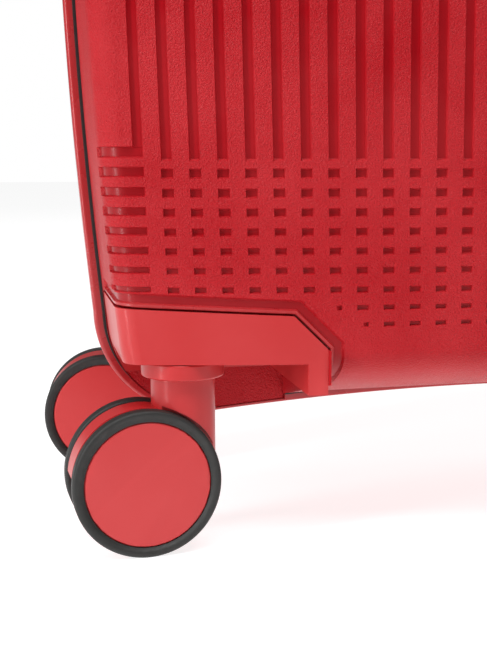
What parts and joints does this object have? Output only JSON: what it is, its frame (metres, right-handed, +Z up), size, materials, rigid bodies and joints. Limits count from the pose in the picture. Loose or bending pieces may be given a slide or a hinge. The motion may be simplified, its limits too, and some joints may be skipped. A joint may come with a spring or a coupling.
{
  "type": "hardside spinner suitcase",
  "caption": "Moulded hardside spinner suitcase with ribbed front, hinged shells, telescopic handle, carry handles, latch lock and swivelling twin-wheel casters.",
  "frame": {"origin": "on the floor, in the plane of the seam between the two shells, midway between the left and right sides", "axes": "+Z up, -Y toward the ribbed front, +X toward the hinge side"},
  "size_m": [0.4041, 0.1759, 0.5467],
  "materials": {
    "shell": "fine grained moulded polypropylene",
    "housing": "smooth satin moulded plastic",
    "hub": "smooth satin moulded plastic",
    "trim": "smooth satin moulded plastic",
    "button": "polished black plastic",
    "dial": "black plastic with pale numbers",
    "seal": "soft black rubber",
    "tyre": "dark grey rubber",
    "steel": "ground steel pin",
    "aluminium": "satin anodised tube",
    "lining": "woven polyester lining"
  },
  "bodies": {
    "rear_case": {"rear_shell": "shell", "rim_seal": "seal", "rear_lining": "lining", "caster_housing_rear_left": "housing", "caster_housing_rear_right": "housing", "handle_channel_left": "aluminium", "handle_channel_right": "aluminium", "handle_bezel": "trim", "top_handle_base": "trim", "side_handle_base": "trim", "hinge_rear_leaf_lower": "trim", "hinge_rear_leaf_upper": "trim", "lock_keeper": "trim", "side_foot_lower": "trim", "side_foot_upper": "trim"},
    "lid": {"front_shell": "shell", "front_lining": "lining", "caster_housing_front_left": "housing", "caster_housing_front_right": "housing", "hinge_front_leaf_lower": "trim", "hinge_front_leaf_upper": "trim", "lock_housing": "trim"},
    "caster_front_left": {"caster_fork_front_left": "housing", "caster_axle_front_left": "steel"},
    "wheel_front_left_a": {"tyre_front_left_a": "tyre", "hub_front_left_a": "hub"},
    "wheel_front_left_b": {"tyre_front_left_b": "tyre", "hub_front_left_b": "hub"},
    "caster_front_right": {"caster_fork_front_right": "housing", "caster_axle_front_right": "steel"},
    "wheel_front_right_a": {"tyre_front_right_a": "tyre", "hub_front_right_a": "hub"},
    "wheel_front_right_b": {"tyre_front_right_b": "tyre", "hub_front_right_b": "hub"},
    "caster_rear_left": {"caster_fork_rear_left": "housing", "caster_axle_rear_left": "steel"},
    "wheel_rear_left_a": {"tyre_rear_left_a": "tyre", "hub_rear_left_a": "hub"},
    "wheel_rear_left_b": {"tyre_rear_left_b": "tyre", "hub_rear_left_b": "hub"},
    "caster_rear_right": {"caster_fork_rear_right": "housing", "caster_axle_rear_right": "steel"},
    "wheel_rear_right_a": {"tyre_rear_right_a": "tyre", "hub_rear_right_a": "hub"},
    "wheel_rear_right_b": {"tyre_rear_right_b": "tyre", "hub_rear_right_b": "hub"},
    "handle_middle": {"handle_middle_tube_left": "aluminium", "handle_middle_tube_right": "aluminium"},
    "handle_top": {"handle_inner_tube_left": "aluminium", "handle_inner_tube_right": "aluminium", "handle_grip": "trim"},
    "handle_push": {"handle_button": "button"},
    "top_grip": {"top_handle_grip": "trim"},
    "side_grip": {"side_handle_grip": "trim"},
    "lever": {"lock_lever": "trim"},
    "lock_push": {"lock_button": "button"},
    "dial_1": {"lock_dial_1": "dial"},
    "dial_2": {"lock_dial_2": "dial"},
    "dial_3": {"lock_dial_3": "dial"}
  },
  "joints": [
    {"name": "lid_hinge", "type": "hinge", "parent": "rear_case", "child": "lid", "pos_m": [0.1984, -0.001, 0.292], "axis": [0, 0, 1], "range_deg": [0, 180]},
    {"name": "caster_front_left_swivel", "type": "hinge", "parent": "lid", "child": "caster_front_left", "pos_m": [-0.1518, -0.0561, 0.083], "axis": [0, 0, 1], "continuous": true},
    {"name": "wheel_front_left_a_spin", "type": "hinge", "parent": "caster_front_left", "child": "wheel_front_left_a", "pos_m": [-0.16701, -0.06789, 0.0275], "axis": [0.0698, -0.9976, 0], "continuous": true},
    {"name": "wheel_front_left_b_spin", "type": "hinge", "parent": "caster_front_left", "child": "wheel_front_left_b", "pos_m": [-0.16851, -0.04654, 0.0275], "axis": [0.0698, -0.9976, 0], "continuous": true},
    {"name": "caster_front_right_swivel", "type": "hinge", "parent": "lid", "child": "caster_front_right", "pos_m": [0.1518, -0.0561, 0.083], "axis": [0, 0, 1], "continuous": true},
    {"name": "wheel_front_right_a_spin", "type": "hinge", "parent": "caster_front_right", "child": "wheel_front_right_a", "pos_m": [0.13553, -0.06638, 0.0275], "axis": [-0.0262, -0.9997, 0], "continuous": true},
    {"name": "wheel_front_right_b_spin", "type": "hinge", "parent": "caster_front_right", "child": "wheel_front_right_b", "pos_m": [0.13609, -0.04498, 0.0275], "axis": [-0.0262, -0.9997, 0], "continuous": true},
    {"name": "caster_rear_left_swivel", "type": "hinge", "parent": "rear_case", "child": "caster_rear_left", "pos_m": [-0.1562, 0.0589, 0.083], "axis": [0, 0, 1], "continuous": true},
    {"name": "wheel_rear_left_a_spin", "type": "hinge", "parent": "caster_rear_left", "child": "wheel_rear_left_a", "pos_m": [-0.17315, 0.04978, 0.0275], "axis": [-0.0958, -0.9954, 0], "continuous": true},
    {"name": "wheel_rear_left_b_spin", "type": "hinge", "parent": "caster_rear_left", "child": "wheel_rear_left_b", "pos_m": [-0.1711, 0.07108, 0.0275], "axis": [-0.0958, -0.9954, 0], "continuous": true},
    {"name": "caster_rear_right_swivel", "type": "hinge", "parent": "rear_case", "child": "caster_rear_right", "pos_m": [0.1562, 0.0589, 0.083], "axis": [0, 0, 1], "continuous": true},
    {"name": "wheel_rear_right_a_spin", "type": "hinge", "parent": "caster_rear_right", "child": "wheel_rear_right_a", "pos_m": [0.14049, 0.04779, 0.0275], "axis": [0.0262, -0.9997, 0], "continuous": true},
    {"name": "wheel_rear_right_b_spin", "type": "hinge", "parent": "caster_rear_right", "child": "wheel_rear_right_b", "pos_m": [0.13992, 0.06918, 0.0275], "axis": [0.0262, -0.9997, 0], "continuous": true},
    {"name": "handle_middle_slide", "type": "slide", "parent": "rear_case", "child": "handle_middle", "axis": [0, 0, 1], "range_m": [0, 0.24]},
    {"name": "handle_top_slide", "type": "slide", "parent": "handle_middle", "child": "handle_top", "axis": [0, 0, 1], "range_m": [0, 0.24]},
    {"name": "handle_button_press", "type": "slide", "parent": "handle_top", "child": "handle_push", "axis": [0, 0, -1], "range_m": [0, 0.0025], "stiffness_N_per_m": 600},
    {"name": "top_grip_fold", "type": "hinge", "parent": "rear_case", "child": "top_grip", "pos_m": [0, 0.0155, 0.5421], "axis": [1, 0, 0], "range_deg": [0, 90]},
    {"name": "side_grip_fold", "type": "hinge", "parent": "rear_case", "child": "side_grip", "pos_m": [-0.1927, 0.03, 0.292], "axis": [0, 0, 1], "range_deg": [0, 90]},
    {"name": "lock_lever_open", "type": "hinge", "parent": "lid", "child": "lever", "pos_m": [-0.1965, -0.014, 0.2918], "axis": [0, 0, 1], "range_deg": [0, 80]},
    {"name": "lock_button_press", "type": "slide", "parent": "lid", "child": "lock_push", "axis": [1, 0, 0], "range_m": [0, 0.0012], "stiffness_N_per_m": 800},
    {"name": "dial_1_turn", "type": "hinge", "parent": "lid", "child": "dial_1", "pos_m": [-0.1889, -0.021, 0.239], "axis": [0, 0, 1], "continuous": true},
    {"name": "dial_2_turn", "type": "hinge", "parent": "lid", "child": "dial_2", "pos_m": [-0.1889, -0.021, 0.246], "axis": [0, 0, 1], "continuous": true},
    {"name": "dial_3_turn", "type": "hinge", "parent": "lid", "child": "dial_3", "pos_m": [-0.1889, -0.021, 0.253], "axis": [0, 0, 1], "continuous": true}
  ]
}
